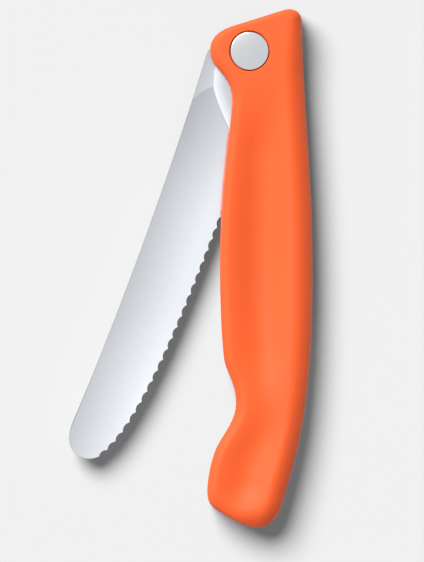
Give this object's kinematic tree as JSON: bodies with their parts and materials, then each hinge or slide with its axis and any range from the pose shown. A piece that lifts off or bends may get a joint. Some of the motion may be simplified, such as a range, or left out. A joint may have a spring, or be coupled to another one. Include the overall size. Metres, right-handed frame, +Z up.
{
  "type": "folding paring knife",
  "caption": "Folding kitchen paring knife: a serrated round-tipped steel blade turns on a riveted slip-joint pivot between two moulded plastic handle halves.",
  "frame": {"origin": "on the pivot axis, in the plane of the rear flat that the knife rests on", "axes": "+Z up through the knife's thickness, along the pivot axis; +Y along the handle from the butt to the pivot end; -X towards the open side of the blade slot"},
  "size_m": [0.065, 0.1382, 0.0135],
  "materials": {
    "handle_plastic": "satin moulded polypropylene",
    "blade_steel": "fine ground stainless steel",
    "rivet_steel": "polished stainless steel",
    "spring_steel": "hardened steel, blanked",
    "bronze": "plain bearing bronze"
  },
  "bodies": {
    "handle": {"handle_front": "handle_plastic", "handle_back": "handle_plastic", "back_spring": "spring_steel", "spring_centre_pin": "spring_steel", "spring_end_pin": "spring_steel", "stop_pin": "spring_steel", "butt_pin": "spring_steel", "pivot_rivet": "rivet_steel", "pivot_sleeve": "rivet_steel", "washer_front": "bronze", "washer_back": "bronze"},
    "blade": {"blade": "blade_steel", "pivot_bush": "bronze"}
  },
  "joints": [
    {"name": "blade_hinge", "type": "hinge", "parent": "handle", "child": "blade", "pos_m": [0, 0, 0.0065], "axis": [0, 0, -1], "range_deg": [-21, 159]}
  ]
}
